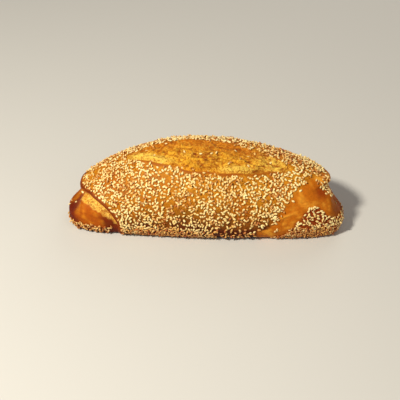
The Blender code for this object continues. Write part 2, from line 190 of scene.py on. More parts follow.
# The rim's brown and dark red are also painted shade: at the left ledge's edge, in the cleft behind the
# burst's lip and near the table.
DARK_RED_AND_SHADE, RIM_BROWN_AND_SHADE = srgb(96, 26, 4), srgb(150, 68, 10)
LOBE_ORANGE, LOBE_LIGHT, LOBE_RED = srgb(170, 80, 4), srgb(218, 136, 26), srgb(104, 28, 2)
PATCH_GOLD, PATCH_LIGHT, PATCH_RED = srgb(190, 102, 10), srgb(230, 154, 44), srgb(140, 44, 4)
BASE_BROWN, BASE_PALE = srgb(110, 58, 22), srgb(166, 110, 58)
SEED_CREAM, SEED_TAN, SEED_BROWN = srgb(255, 238, 172), srgb(240, 192, 104), srgb(184, 104, 46)
SEED_PAINTED_SHADE = srgb(202, 138, 96)  # painted shade: what a seed's own colour is multiplied by on its underside, where it lies on the crust, and near the table


def smooth(value):
    """0 below 0, 1 above 1, and an even S between them."""
    share = np.clip(value, 0.0, 1.0)
    return share * share * (3.0 - 2.0 * share)


def ramp(value, start, end):
    """An even S from 0 at start to 1 at end; end may be the lower of the two."""
    return smooth((value - start) / (end - start))


def blend(first, second, share):
    """Two colours, or arrays of them, mixed by a share for each point."""
    return first + (second - first) * np.clip(share, 0.0, 1.0)[..., None]


def spot(x, turn, place):
    """1 at the middle of a small place on the crust, and falling away around it."""
    middle_x, reach_x, middle_turn, reach_turn = place
    return np.exp(-(((x - middle_x) / reach_x) ** 2) - ((turn - middle_turn) / reach_turn) ** 2)


# Noise

# Turned axes, as columns. The first turns each layer of noise, so that its cells don't lie along the loaf.
# The others lie along the stretch marks on the right and the torn fibres on the left.
NOISE_TURN = np.array([[0.00, 0.80, 0.60], [-0.80, 0.36, -0.48], [-0.60, -0.48, 0.64]]).T
STRETCH = np.array([[0.80, 0.60, 0.0], [-0.48, 0.64, 0.60], [0.36, -0.48, 0.80]]).T
FIBRES = np.array([[0.60, -0.48, -0.64], [0.80, 0.36, 0.48], [0.0, -0.80, 0.60]]).T


def lattice(cell, seed):
    """A fixed random value between -1 and 1 for each whole-numbered cell, stirred by large primes."""
    primes = np.array([73856093, 19349663, 83492791], dtype=np.int64)
    key = (cell.astype(np.int64) * primes).sum(axis=-1) + seed * 2654435761
    key = (key ^ (key >> 13)) * 1274126177 & 0x7FFFFFFF
    key = (key ^ (key >> 16)) * 668265263 & 0x7FFFFFFF
    return key / 0x3FFFFFFF - 1.0


def noise(points, size, seed):
    """Smooth random values between -1 and 1, with features of this size."""
    place = points / size
    low = np.floor(place)
    share = place - low
    share = share * share * (3.0 - 2.0 * share)
    total = np.zeros(points.shape[:-1])
    for corner in np.ndindex(2, 2, 2):
        weight = np.prod(np.where(corner, share, 1.0 - share), axis=-1)
        total += weight * lattice(low + corner, seed)
    return total


def layered(points, size, layers, seed):
    """Noise with ever finer layers, between about -1 and 1, each turned away from the one before it."""
    total, weight = np.zeros(points.shape[:-1]), 0.0
    for layer in range(layers):
        points = points @ NOISE_TURN
        total += noise(points, size / 2**layer, seed + layer) / 2**layer
        weight += 0.5**layer
    return total / weight


def drawn_out(points, share):
    """Points whose noise has its features drawn out along their first axis."""
    return points * [share, 1.0, 1.0]


# The form


def plan_share(x):
    """The loaf's width at x, as a share of its greatest width."""
    return np.clip(1.0 - np.abs(x / HALF_LENGTH) ** PLAN_POWER, 0.0, 1.0) ** (1.0 / PLAN_ROOT)


def ridge_height(x):
    """The height of the ridge over the table."""
    reach = np.where(x < PEAK_X, REACH_LEFT, REACH_RIGHT)
    arch = 1.0 - (np.abs(x - PEAK_X) / reach) ** ARCH_POWER
    blunt = np.sqrt(np.clip(1.0 - np.abs(x / HALF_LENGTH) ** BLUNT_POWER, 0.0, 1.0))
    return BELLY_HEIGHT + (HEIGHT * arch - BELLY_HEIGHT) * blunt


def base_height(x):
    """The height of the underside over the table: flat, and rounded up under both ends."""
    lift = np.clip((np.abs(x) - BASE_LIFT_X) / (HALF_LENGTH - BASE_LIFT_X), 0.0, 1.0)
    return BELLY_HEIGHT * (1.0 - np.sqrt(1.0 - lift * lift))


def section_point(x, turn):
    """Points on the plain form, without any relief."""
    dome = np.pi * np.clip(turn, 0.0, 1.0)
    back = np.pi / 2 * np.clip(turn - 1.0, 0.0, 1.0)
    front = np.pi / 2 * np.clip(turn - 3.0, 0.0, 1.0)
    tuck = 1.0 - BASE_SHARE
    low = base_height(x)
    places = [turn <= 1.0, turn <= 2.0, turn <= 3.0]
    across = np.select(
        places,
        [-np.cos(dome), BASE_SHARE + tuck * np.cos(back), BASE_SHARE * (5.0 - 2.0 * turn)],
        -BASE_SHARE - tuck * np.sin(front),
    )
    height = np.select(
        places,
        [
            BELLY_HEIGHT + (ridge_height(x) - BELLY_HEIGHT) * np.sin(dome),
            low + (BELLY_HEIGHT - low) * (1.0 - np.sin(back)),
            low,
        ],
        low + (BELLY_HEIGHT - low) * (1.0 - np.cos(front)),
    )
    y = WIDTH / 2 * plan_share(x) * across - END_SWEEP * (x / HALF_LENGTH) ** 2
    near_tip = smooth((np.abs(x) - LEAN_X) / (HALF_LENGTH - LEAN_X))
    lift = np.maximum(height - BELLY_HEIGHT, 0.0) / (HEIGHT - BELLY_HEIGHT)
    lean = np.where(x < 0.0, LEAN_LEFT, LEAN_RIGHT) * lift * (2.0 - lift)
    soft_start = np.maximum(across + SET_BLEND, 0.0) ** 2 / (4.0 * SET_BLEND)
    behind = np.where(across < SET_BLEND, soft_start, across)
    set_in = np.where(x < 0.0, SET_LEFT, SET_RIGHT) * plan_share(x) * behind
    return np.stack([x - np.sign(x) * near_tip * (lean + set_in), y, height], axis=-1)


def section_normal(x, turn):
    """Unit directions out of the plain form; at the two tips, where it has none, along the loaf."""
    step_x, step_turn = 1e-5, 1e-4
    along = section_point(np.minimum(x + step_x, HALF_LENGTH), turn) - section_point(
        np.maximum(x - step_x, -HALF_LENGTH), turn
    )
    around = section_point(x, turn + step_turn) - section_point(x, (turn - step_turn) % 4.0)
    normal = np.cross(along, around)
    size = np.linalg.norm(normal, axis=-1, keepdims=True)
    tip = np.stack([np.sign(x), np.zeros_like(x), np.zeros_like(x)], axis=-1)
    return np.where(size > 1e-14, normal / np.maximum(size, 1e-14), tip)


def level(turn):
    """0.5 at the ridge, 0 at the belly on both sides, and -1 at the base's edges and under the base."""
    return np.maximum(np.minimum(turn, np.maximum(1.0 - turn, turn - 4.0)), -1.0)


def dome_rise(turn):
    """0 at and below the belly lines, and 1 at the ridge."""
    return np.sin(np.pi * np.maximum(level(turn), 0.0))


def arc_points(turn, row):
    """Places for noise along a collar or a lip: each row is a line of its own, and its ends meet under the
    base."""
    around = np.where(turn > 2.5, turn - 4.0, turn) * DOME_ARC
    return np.stack([around, np.full_like(turn, row), np.zeros_like(turn)], axis=-1)


def collar_left(turn):
    """x of the wrap's left edge."""
    torn = TORN_EDGE * layered(arc_points(turn, 1.0), *TORN_LEFT)
    return COLLAR_LEFT_X + COLLAR_LEFT_REACH * dome_rise(turn) ** COLLAR_LEFT_POWER + torn


def collar_right(turn):
    """x of the wrap's right edge."""
    torn = TORN_EDGE * layered(arc_points(turn, 2.0), *TORN_RIGHT)
    return COLLAR_RIGHT_X + COLLAR_RIGHT_REACH * dome_rise(turn) ** COLLAR_RIGHT_POWER + torn


def beyond(x, turn, collar):
    """The distance over the plain form from a collar out to each point, less than 0 inside the wrap."""
    gone = np.linalg.norm(section_point(x, turn) - section_point(collar, turn), axis=-1)
    return np.where(np.abs(x) > np.abs(collar), gone, -gone)


def split_place(x):
    """-1 at the burst's left tip and beyond, 0 at its middle, and 1 at its right tip and beyond."""
    reach = np.where(x < SPLIT_CENTRE_X, SPLIT_LEFT, SPLIT_RIGHT)
    return np.clip((x - SPLIT_CENTRE_X) / reach, -1.0, 1.0)


def ragged(x):
    """How far the burst's edges wander, in turn."""
    broad = 0.0040 * np.sin(x / 0.0079) + 0.0030 * np.sin(x / 0.0047 + 1.3)
    return broad + 0.0040 * layered(arc_points(x / DOME_ARC, 3.0), *TORN_SPLIT)


def lip_turn(x):
    """The turn of the burst's front lip."""
    place = split_place(x)
    return TIP_TURN - TIP_SKEW * place - (LIP_BOW - ragged(x)) * (1.0 - place**2)


def edge_turn(x):
    """The turn of the burst's back edge."""
    place = split_place(x)
    return TIP_TURN - TIP_SKEW * place + (EDGE_BOW + ragged(x + 0.05)) * np.sqrt(1.0 - place**2)


# The solid's relief


def wobble(points):
    """Broad, shallow unevenness of the whole loaf."""
    draw = np.random.default_rng(WOBBLE_SEED)
    height = np.zeros(points.shape[:-1])
    for length in WOBBLE_LENGTHS:
        direction = draw.normal(size=3)
        direction /= np.linalg.norm(direction)
        height += np.sin(points @ direction * 2.0 * np.pi / length + draw.uniform(0.0, 2.0 * np.pi))
    return height / len(WOBBLE_LENGTHS)


def crags(x, turn):
    """The coarse torn lumps of the burst."""
    across = turn * DOME_ARC
    broad = np.sin(x / 0.0052 + 2.0 * np.sin(across / 0.006)) * np.cos(across / 0.0045 + x / 0.021)
    fine = np.sin(x / 0.0027 + across / 0.0040) * np.sin(across / 0.0026 - x / 0.009)
    return 0.65 * broad + 0.35 * fine


def burst_swells(x, past_lip):
    """The height of the smooth swells behind the burst's lip."""
    height = np.zeros_like(x)
    for centre, behind, half_length, half_width, rise in BURST_SWELLS:
        along, across = (x - centre) / half_length, (past_lip - behind) / half_width
        height += rise * np.exp(-(along**2) - across**2)
    return height


def split_relief(x, turn):
    """The raised lip, the cleft behind it and the torn crust inside the burst."""
    past_lip = (turn - lip_turn(x)) * DOME_ARC
    before_edge = (edge_turn(x) - turn) * DOME_ARC
    strength = smooth((1.0 - np.abs(split_place(x))) * 4.0)
    lip = LIP_RISE * np.exp(np.minimum(past_lip, 0.0) / LIP_REACH)
    cleft = -CLEFT_DEPTH * (1.0 - smooth(past_lip / CLEFT_WIDTH))
    torn = CRAG_HEIGHT * crags(x, turn) * smooth(past_lip / CLEFT_WIDTH) - BURST_SINK
    inside = cleft + burst_swells(x, past_lip) + torn * smooth(before_edge / BURST_STEP)
    return strength * np.select([past_lip <= ON_LIP, before_edge > 0.0], [lip, inside], 0.0)


def ledge_relief(past_collar, step, belly, ridge, rise):
    """The raised rim of a collar, the drop past it, and the lobe that swells up again beyond the drop."""
    rim = RIM_RISE * rise * np.exp(-np.abs(past_collar) / RIM_REACH)
    swell = SWELL_BELLY + (SWELL_RIDGE - SWELL_BELLY) * rise
    drop = (belly + ridge * rise) * smooth(past_collar / step)
    return rim - drop * (1.0 - swell * smooth((past_collar - step) / SWELL_LENGTH))


def solid_relief(x, turn, plain):
    """All the relief that the solid has too."""
    rise = dome_rise(turn) ** 2
    height = split_relief(x, turn)
    height += ledge_relief(collar_left(turn) - x, STEP_LEFT, LEDGE_LEFT, LEDGE_LEFT_RIDGE, rise)
    rise_right = rise * smooth((turn - STEP_RIGHT_TURN) / (0.5 - STEP_RIGHT_TURN))
    height += ledge_relief(x - collar_right(turn), STEP_RIGHT, LEDGE_RIGHT, LEDGE_RIGHT_RIDGE, rise_right)
    return height + WOBBLE_HEIGHT * wobble(plain)


# Zones, each a share between 0 and 1 for every point


def in_burst(x, turn):
    """1 inside the burst, with a soft edge of a millimetre."""
    past_lip = (turn - lip_turn(x)) * DOME_ARC
    before_edge = (edge_turn(x) - turn) * DOME_ARC
    open_here = ramp(np.abs(split_place(x)), 1.0, 0.96)
    return ramp(past_lip, -0.0002, 0.0006) * ramp(before_edge, -0.0005, 0.0008) * open_here


def in_band(x, turn, points):
    """1 on the pale torn band beside the left collar."""
    width = 0.0008 + BAND_WIDTH * ramp(level(turn), -0.12, 0.22)
    width *= 1.0 - 0.5 * np.exp(-(((turn - 0.5) / 0.09) ** 2))
    width *= np.where((turn > 0.5) & (turn < 2.0), 0.25 + 0.75 * ramp(turn, 0.9, 0.6), 1.0)
    past = beyond(np.minimum(x, 0.0), turn, collar_left(turn))
    ragged_edge = 0.0032 * layered(points, *TORN_BAND)
    return ramp(past, 0.0003, 0.0010) * ramp(past + ragged_edge, width + 0.0006, width - 0.0006)


def in_corner(x, turn, points):
    """1 where seeds cover the foot and corner of the right end, lower behind than in front."""
    reach = 1.0 - 0.4 * ramp(points[..., 1], -0.030, 0.000)
    top = np.interp(x, CORNER_X, CORNER_TOP) * reach + 0.004 * layered(points, *COAT_UNEVEN)
    return ramp(points[..., 2], top + 0.001, top - 0.002) * ramp(x, CORNER_X[0], CORNER_X[1])


def lip_rim(x, past_lip, points):
    """1 on the bare rim of the wrap in front of the burst's lip, which comes and goes."""
    width = LIP_BARE * (1.0 + 0.8 * layered(points, *LIP_UNEVEN))
    rim = ramp(past_lip, -width - 0.0006, -width + 0.0006) * (past_lip < 0.0)
    return rim * ramp(np.abs(split_place(x)), 1.0, 0.85)


def crease_share(x, turn):
    """1 along the crease that crosses the bare patch on the right."""
    low_x, low_turn, high_x, high_turn = CREASE_LINE
    start = np.array([low_x, low_turn * DOME_ARC])
    line = np.array([high_x, high_turn * DOME_ARC]) - start
    place = np.stack([x, np.where(turn > 3.0, turn - 4.0, turn) * DOME_ARC], axis=-1) - start
    share = np.clip(place @ line / (line @ line), 0.0, 1.0)
    gap = np.linalg.norm(place - share[..., None] * line, axis=-1)
    return np.exp(-((gap / CREASE_WIDTH) ** 2)) * np.sin(np.pi * (0.1 + 0.8 * share))


# The fine relief


def lumps(points):
    """Torn dough between about -1 and 1: rounded lumps of two sizes, parted by furrows along the loaf."""
    drawn = drawn_out(points, 0.7)
    large = np.abs(layered(drawn, *LARGE_LUMPS))
    small = np.abs(layered(drawn, *SMALL_LUMPS))
    return 2.0 * large + 2.2 * small - 1.0


def fine_relief(x, turn, plain):
    """The relief that is too fine for the solid: skin, torn lumps, the band's fibres and the crease."""
    burst = in_burst(x, turn)
    band = in_band(x, turn, plain)
    swells = np.clip(burst_swells(x, (turn - lip_turn(x)) * DOME_ARC) / SWELL_SMOOTH, 0.0, 1.0)
    skin = layered(plain, *SKIN) * SKIN_HEIGHT
    fibres = layered(drawn_out(plain, 0.35), *TORN_FIBRES)
    height = skin * (1.0 - np.clip(burst + band, 0.0, 1.0))
    height += TEAR_HEIGHT * lumps(plain) * burst * (1.0 - SWELL_CALM * swells)
    height += FIBRE_HEIGHT * fibres * band
    return height + CREASE_HEIGHT * crease_share(x, turn)


def crust_point(x, turn, fine=True):
    """Points on the crust, with or without the fine relief; the tips and the base stay plain."""
    plain = section_point(x, turn)
    height = solid_relief(x, turn, plain)
    if fine:
        height = height + fine_relief(x, turn, plain)
    height = height * smooth(1.0 + level(turn)) * smooth(plan_share(x) / TIP_SHARE)
    return plain + section_normal(x, turn) * height[..., None]


# The crust's colours


def paint_coat(turn, points):
    """The baked crust under the seeds: golden on top and browner towards the foot, partly as painted shade.
    """
    mottle = layered(points, *COAT_MOTTLE)
    colour = blend(COAT_GOLD, COAT_AMBER, 0.45 + 0.75 * mottle)
    return blend(colour, COAT_BROWN_AND_SHADE, ramp(level(turn) + 0.10 * mottle, 0.18, -0.06))


def paint_burst(x, turn, points):
    """Torn crust: pale swells, partly paler dough and partly painted light on their rise; golden lumps with
    browner furrows, which are painted shade; baked darkest towards the back edge.
    """
    past_lip = (turn - lip_turn(x)) * DOME_ARC
    depth = (turn - lip_turn(x)) / np.maximum(edge_turn(x) - lip_turn(x), BURST_LEAST)
    mottle = layered(points, *BURST_MOTTLE)
    colour = blend(BURST_GOLD, BURST_BACK, ramp(depth + 0.30 * mottle, 0.40, 0.95))
    # The swells are paler by their rise: partly paler dough, partly painted light where they bulge up.
    swells = np.clip(burst_swells(x, past_lip) / SWELL_PALE, 0.0, 1.0)
    right = np.exp(-(((x - 0.062) / 0.014) ** 2))
    colour = blend(colour, BURST_PALE_AND_LIGHT, swells + 0.4 * ramp(mottle, 0.0, 0.5) * (1.0 - depth) + 0.8 * right)
    # Painted shade: the furrows between the torn lumps are darker.
    furrows = ramp(lumps(points), -0.20, -0.70) * (1.0 - SWELL_CALM * swells)
    colour = blend(colour, FURROW_SHADE, 0.75 * furrows)
    veins = ramp(np.abs(layered(drawn_out(points, 0.55), *VEINS)), 0.075, 0.015) * ramp(mottle, -0.45, 0.0)
    colour = blend(colour, RIM_BROWN_AND_SHADE, 0.6 * veins * (1.0 - 0.8 * swells))
    specks = ramp(layered(drawn_out(points, 0.7), *SPECKS), 0.20, 0.34)
    specks *= ramp(layered(points, *SPECK_PATCHES), -0.25, 0.05)
    colour = blend(colour, FLECK, specks * ramp(swells, 0.9, 0.3) * 0.9)
    # Darker just behind the lip: partly the lip's browned edge, partly painted shade in the cleft.
    at_lip = ramp(past_lip + 0.0008 * mottle, 0.0022, 0.0008) * (0.55 + 0.45 * ramp(mottle, -0.3, 0.2))
    return blend(colour, RIM_BROWN_AND_SHADE, at_lip)


def paint_left_end(x, turn, points, colour):
    """The wrap's dark bare rim, dark red at the ledge's edge as painted shade; the lobe, brown-red at its
    tip, foot and back, and darkest by the table, partly as painted shade; and the pale torn band.
    """
    inside = x - collar_left(turn)
    px, py, pz = np.moveaxis(points, -1, 0)
    mottle = layered(points, *LEFT_MOTTLE)
    # Painted shade: the rim is dark red right at the ledge's edge, more so higher up, where the ledge drops
    # further.
    red = ramp(inside + 0.0012 * mottle, 0.0026, 0.0006) * (0.5 + level(turn) * 2.0)
    rim = ramp(inside + 0.0015 * mottle, 0.0048, 0.0026) * 0.95
    colour = blend(colour, blend(RIM_BROWN_AND_SHADE, DARK_RED_AND_SHADE, red), rim)
    spots = layered(drawn_out(points @ FIBRES, 0.55), *LOBE_SPOTS)
    crest = ramp(py + 0.010 * mottle, -0.022, -0.004) * ramp(pz + 0.006 * mottle, 0.008, 0.020)
    lobe = blend(LOBE_ORANGE, LOBE_LIGHT, 0.65 * ramp(spots + 0.3 * mottle, 0.0, 0.6) + 0.35 * crest)
    tip = ramp(px + 0.005 * mottle, -0.110, -0.127) * (1.0 - 0.6 * crest)
    # Darker towards the table: partly the lobe's browner foot, partly painted shade.
    low = ramp(pz + 0.004 * mottle, 0.014, 0.002)
    behind = ramp(py + 0.008 * mottle, 0.008, 0.030) * 0.6
    near_band = ramp(-inside + 0.004 * mottle, 0.0190, 0.0105) * ramp(level(turn), 0.12, 0.02) * 0.9
    lobe = blend(lobe, LOBE_RED, np.maximum.reduce([tip, low, behind, near_band]))
    # Painted shade: dark red at the very bottom, by the table.
    lobe = blend(lobe, DARK_RED_AND_SHADE, 0.85 * ramp(pz + 0.002 * mottle, 0.011, 0.003))
    colour = blend(colour, lobe, ramp(inside, 0.0004, -0.0004))
    fibres = layered(drawn_out(points @ FIBRES, 0.30), *BAND_FIBRES)
    band = blend(BAND_PALE, BAND_GOLD, 0.40 + 1.1 * fibres)
    band = blend(band, RIM_BROWN_AND_SHADE, ramp(fibres, -0.25, -0.55) * 0.8)
    return blend(colour, band, in_band(x, turn, points))


def paint_right_end(x, turn, points, colour):
    """The bare patch with its stretch marks, a painted shadow beside the tuft and the pale notch."""
    bare = ramp(x - coat_end_right(turn), -0.004, 0.002)
    mottle = layered(points, *RIGHT_MOTTLE)
    streaks = layered(points @ STRETCH * [1.0, 0.22, 1.0], *PATCH_STREAKS)
    patch = blend(PATCH_GOLD, PATCH_LIGHT, 0.9 * ramp(streaks + 0.5 * mottle, -0.1, 0.45))
    patch = blend(patch, PATCH_LIGHT, 0.9 * crease_share(x, turn))
    # Painted shadow in dark red beside the tuft.
    tuft_shadow = spot(x, turn, TUFT_SHADOW) * (1.0 + 0.8 * streaks)
    gap = spot(x, turn, TIP_GAP)
    tip = ramp(points[..., 0] + 0.007 * streaks, 0.113, 0.128) * (0.7 + 0.6 * mottle)
    low = in_corner(x, turn, points) * 0.85
    behind = ramp(points[..., 1] + 0.008 * mottle, 0.004, 0.028) * 0.6
    patch = blend(patch, PATCH_RED, np.maximum.reduce([0.9 * tuft_shadow, 0.95 * gap, 0.9 * tip, low, behind]))
    patch = blend(patch, BAND_GOLD, 1.3 * spot(x, turn, NOTCH))
    return blend(colour, patch, bare)


def paint_crust(x, turn, points):
    """The crust's colour at each point, from all the zones and the floured base."""
    colour = paint_coat(turn, points)
    colour = paint_right_end(x, turn, points, colour)
    colour = paint_left_end(x, turn, points, colour)
    rim = lip_rim(x, (turn - lip_turn(x)) * DOME_ARC, points)
    colour = blend(colour, RIM_BROWN_AND_SHADE, 0.75 * rim)
    colour = blend(colour, paint_burst(x, turn, points), in_burst(x, turn))
    flour = ramp(layered(points, *FLOUR), 0.05, 0.5)
    base = blend(BASE_BROWN, BASE_PALE, 0.7 * flour)
    return blend(colour, base, ramp(level(turn), -0.72, -0.95) * ramp(points[..., 2], 0.006, 0.001))


# The grid


def plan_to_x(share):
    """The distance from the loaf's middle at which its plan has this share of its width."""
    return HALF_LENGTH * (1.0 - share**PLAN_ROOT) ** (1.0 / PLAN_POWER)


def lobe_x(station, collar, step):
    """The distance out from the middle for a station between 0 at a tip and 1 at its collar."""
    foot = collar + step
    share = plan_share(foot) * station / LEDGE_FOOT
    inner = (station - LEDGE_FOOT) / (1.0 - LEDGE_FOOT)
    return np.where(station <= LEDGE_FOOT, plan_to_x(np.minimum(share, 1.0)), foot - step * inner)


def station_x(station, line):
    """x along the loaf for a station: 0 left tip, 1 left collar, 2 right collar, 3 right tip."""
    left = collar_left(line_turn(line, np.full_like(line, -HALF_LENGTH)))
    right = collar_right(line_turn(line, np.full_like(line, HALF_LENGTH)))
    middle = left + (right - left) * (station - 1.0)
    on_left = -lobe_x(np.clip(station, 0.0, 1.0), -left, STEP_LEFT)
    on_right = lobe_x(np.clip(3.0 - station, 0.0, 1.0), right, STEP_RIGHT)
    return np.where(station <= 1.0, on_left, np.where(station >= 2.0, on_right, middle))


def line_turn(line, x):
    """The turn of a line around the loaf: 0 and 6 are the front belly line, 1 is the lip, 2 the back edge,
    3 the back belly line, and 4 and 5 are the base's edges."""
    lip = lip_turn(x)
    edge = lip + np.maximum(edge_turn(x) - lip, BURST_LEAST)
    foot = lip + np.minimum(CLEFT_FOOT / DOME_ARC, (edge - lip) * 0.3)
    return np.select(
        [line <= 1.0, line <= CLEFT_LINE, line <= 2.0, line <= 3.0],
        [
            line * lip,
            lip + (line - 1.0) / (CLEFT_LINE - 1.0) * (foot - lip),
            foot + (line - CLEFT_LINE) / (2.0 - CLEFT_LINE) * (edge - foot),
            edge + (line - 2.0) * (1.0 - edge),
        ],
        line - 2.0,
    )


def spread(start, end, count):
    """Evenly spaced values from start, without the end."""
    return list(np.linspace(start, end, count, endpoint=False))


def grid_stations():
    """The stations of the grid's rings, from the left tip to the right one."""
    lobe = spread(0.0, LEDGE_FOOT, LOBE_RINGS) + spread(LEDGE_FOOT, 1.0, LEDGE_RINGS)
    shell = spread(1.0, 2.0, SHELL_RINGS) + [2.0]
    return np.array(lobe + shell + [3.0 - station for station in reversed(lobe)])


def grid_lines():
    """The lines of the grid, once around the loaf."""
    lines = spread(0.0, 1.0, FRONT_LINES)
    lines += spread(1.0, CLEFT_LINE, WALL_LINES) + spread(CLEFT_LINE, 2.0, BURST_LINES)
    lines += spread(2.0, 3.0, BACK_LINES) + spread(3.0, 4.0, TUCK_LINES)
    return np.array(lines + spread(4.0, 5.0, BASE_LINES) + spread(5.0, 6.0, TUCK_LINES))


def add_colours(mesh, colours):
    """A colour for each vertex, which the material reads by the name tint."""
    layer = mesh.color_attributes.new("tint", "FLOAT_COLOR", "POINT")
    opaque = np.concatenate([colours, np.ones((len(colours), 1))], axis=1)
    layer.data.foreach_set("color", opaque.astype(np.float32).ravel())


def make_crust():
    """The loaf's skin: a sphere whose rings and segments are moved onto the form, and its colours."""
    stations, lines = grid_stations(), grid_lines()
    rings, segments = len(stations) - 1, len(lines)
    sphere = bmesh.new()
    bmesh.ops.create_uvsphere(sphere, u_segments=segments, v_segments=rings, radius=1.0)
    mesh = bpy.data.meshes.new("loaf_crust")
    sphere.to_mesh(mesh)
    sphere.free()
    unit = np.zeros(len(mesh.vertices) * 3)
    mesh.vertices.foreach_get("co", unit)
    unit = unit.reshape(-1, 3)
    ring = np.rint(np.arccos(np.clip(unit[:, 2], -1.0, 1.0)) / np.pi * rings).astype(int)
    segment = np.rint(np.arctan2(-unit[:, 0], unit[:, 1]) / (2.0 * np.pi) * segments).astype(int) % segments
    x = station_x(stations[ring], lines[segment])
    turn = line_turn(lines[segment], x)
    points = crust_point(x, turn)
    mesh.vertices.foreach_set("co", points.ravel())
    add_colours(mesh, paint_crust(x, turn, points))
    torn = np.clip(in_burst(x, turn) + in_band(x, turn, points), 0.0, 1.0)
    for name, share in (("torn", torn), ("seeded", np.clip(coat_density(x, turn, points), 0.0, 1.0))):
        mesh.attributes.new(name, "FLOAT", "POINT").data.foreach_set("value", share)
    mesh.shade_smooth()
    crust = bpy.data.objects.new("loaf_crust", mesh)
    bpy.context.scene.collection.objects.link(crust)
    mesh.materials.append(crust_material())
    return crust


# The seeds


def coat_end_right(turn):
    """Where the coat of seeds ends on the right: along a slant in front, and at the collar behind."""
    front = SEED_RIGHT_X + SEED_RIGHT_SLANT * np.clip(level(turn), -0.1, 0.5)
    return np.where((turn > 0.5) & (turn < 2.5), collar_right(turn) - SEED_EDGE_BEHIND, front)


def coat_density(x, turn, points):
    """The share of a full coat of seeds at each place."""
    height, high = level(turn), points[..., 2]
    front = (turn < 0.5) | (turn > 2.5)
    uneven = layered(points, *COAT_UNEVEN)
    edge = SEED_EDGE * (0.9 + 0.4 * np.maximum(height, 0.0)) + 0.001 * uneven
    wrap = ramp(x - collar_left(turn), edge, edge + 0.0012)
    wrap *= ramp(coat_end_right(turn) - x + 0.005 * uneven, -0.001, 0.004) * ramp(high, 0.0015, 0.004)
    start, few, many, end = THIN_FOOT_X
    thin_foot = ramp(x, start, few) * ramp(x, end, many) * ramp(height, 0.06, -0.04) * front
    wrap *= 1.0 - 0.9 * thin_foot
    foot = ramp(high, 0.0015, 0.003)
    left_foot = (0.3 + 0.7 * ramp(x, -0.095, -0.102)) * ramp(x, -0.084, -0.088)
    left_foot = left_foot * ramp(high + 0.004 * uneven, 0.0125, 0.0095) * foot
    corner = in_corner(x, turn, points) * foot
    tuft = np.clip(spot(x, turn, TUFT) * 4.0, 0.0, 1.0)
    density = np.maximum.reduce([wrap, 0.24 * left_foot, 0.9 * corner, 1.2 * tuft])
    density *= np.clip(1.0 - 1.4 * spot(x, turn, NOTCH), 0.0, 1.0)
    clumps = np.clip(0.92 + 0.8 * layered(points, *COAT_CLUMPS), 0.5, 1.0)
    density *= np.clip(0.88 + 0.75 * uneven, 0.0, 1.0) * clumps
    past_lip = (turn - lip_turn(x)) * DOME_ARC
    before_edge = (edge_turn(x) - turn) * DOME_ARC
    between_tips = np.abs(split_place(x)) < 1.0
    burst = ramp(past_lip, -0.0010, 0.0004) * ramp(before_edge, -0.0025, 0.0015) * between_tips
    burst = np.maximum(burst, 0.9 * lip_rim(x, past_lip, points))
    stray = np.where(burst > 0.5, BURST_STRAY, BARE_STRAY)
    return np.maximum(density * (1.0 - burst), stray * (high > STRAY_HEIGHT))


def scatter_seeds():
    """x and turn for each seed: random darts thinned by the coat's density, clear of those before them."""
    draw = np.random.default_rng(SCATTER_SEED)
    along = draw.uniform(-HALF_LENGTH, HALF_LENGTH, SEED_TRIES) * SEED_REACH
    share = draw.uniform(END_MIDDLE, plan_share(HALF_LENGTH * SEED_REACH), END_TRIES)
    end = plan_to_x(share) * draw.choice((-1.0, 1.0), END_TRIES)
    x = np.concatenate([along, end])
    turn = draw.uniform(-1.5, 2.5, len(x)) % 4.0
    points = crust_point(x, turn)
    wanted = np.flatnonzero(draw.uniform(size=len(x)) < coat_density(x, turn, points))
    cells, kept = {}, []
    around = [np.array(step) - 1 for step in np.ndindex(3, 3, 3)]
    for index in wanted:
        cell = np.floor(points[index] / SEED_GAP).astype(int)
        near = [other for step in around for other in cells.get(tuple(cell + step), ())]
        if near and (np.linalg.norm(points[near] - points[index], axis=1) < SEED_GAP).any():
            continue
        cells.setdefault(tuple(cell), []).append(index)
        kept.append(index)
    return x[kept], turn[kept]


def crust_axes(x, turn):
    """Three unit directions at each place on the crust, as columns: two along it and one outwards."""
    along = crust_point(x + STEP_ALONG, turn, False) - crust_point(x - STEP_ALONG, turn, False)
    ahead, behind = (turn + STEP_TURN) % 4.0, (turn - STEP_TURN) % 4.0
    around = crust_point(x, ahead, False) - crust_point(x, behind, False)
    outward = np.cross(along, around)
    outward /= np.linalg.norm(outward, axis=-1, keepdims=True)
    along /= np.linalg.norm(along, axis=-1, keepdims=True)
    return np.stack([along, np.cross(outward, along), outward], axis=-1)


def turned(first, second, angle):
    """Rotation matrices by an angle each, in the plane of two of the axes 0, 1 and 2."""
    matrix = np.tile(np.eye(3), (len(angle), 1, 1))
    matrix[:, first, first] = matrix[:, second, second] = np.cos(angle)
    matrix[:, second, first] = np.sin(angle)
    matrix[:, first, second] = -np.sin(angle)
    return matrix


def seed_form():
    """A sesame seed along X: a flattened drop, blunt at one end and pointed at the other."""
    seed = bmesh.new()
    bmesh.ops.create_uvsphere(seed, u_segments=SEED_SEGMENTS, v_segments=SEED_RINGS, radius=0.5)
    bmesh.ops.triangulate(seed, faces=seed.faces)
    seed.verts.ensure_lookup_table()
    unit = np.array([(-v.co.z, v.co.y, v.co.x) for v in seed.verts])
    faces = np.array([[v.index for v in face.verts] for face in seed.faces])
    seed.free()
    drop = 1.10 - 0.45 * (unit[:, 0] + 0.5) ** 1.5
    points = np.stack([unit[:, 0], unit[:, 1] * drop, unit[:, 2] * drop**0.6], axis=-1)
    return points * [SEED_LENGTH, SEED_WIDTH, SEED_THICKNESS], faces


def chance_angles(draw, count, wild, wide, narrow):
    """Angles about 0, in radians: widely spread for this share of the seeds, and narrowly for the rest."""
    return np.where(draw.uniform(size=count) < wild, wide, narrow) * draw.normal(size=count)


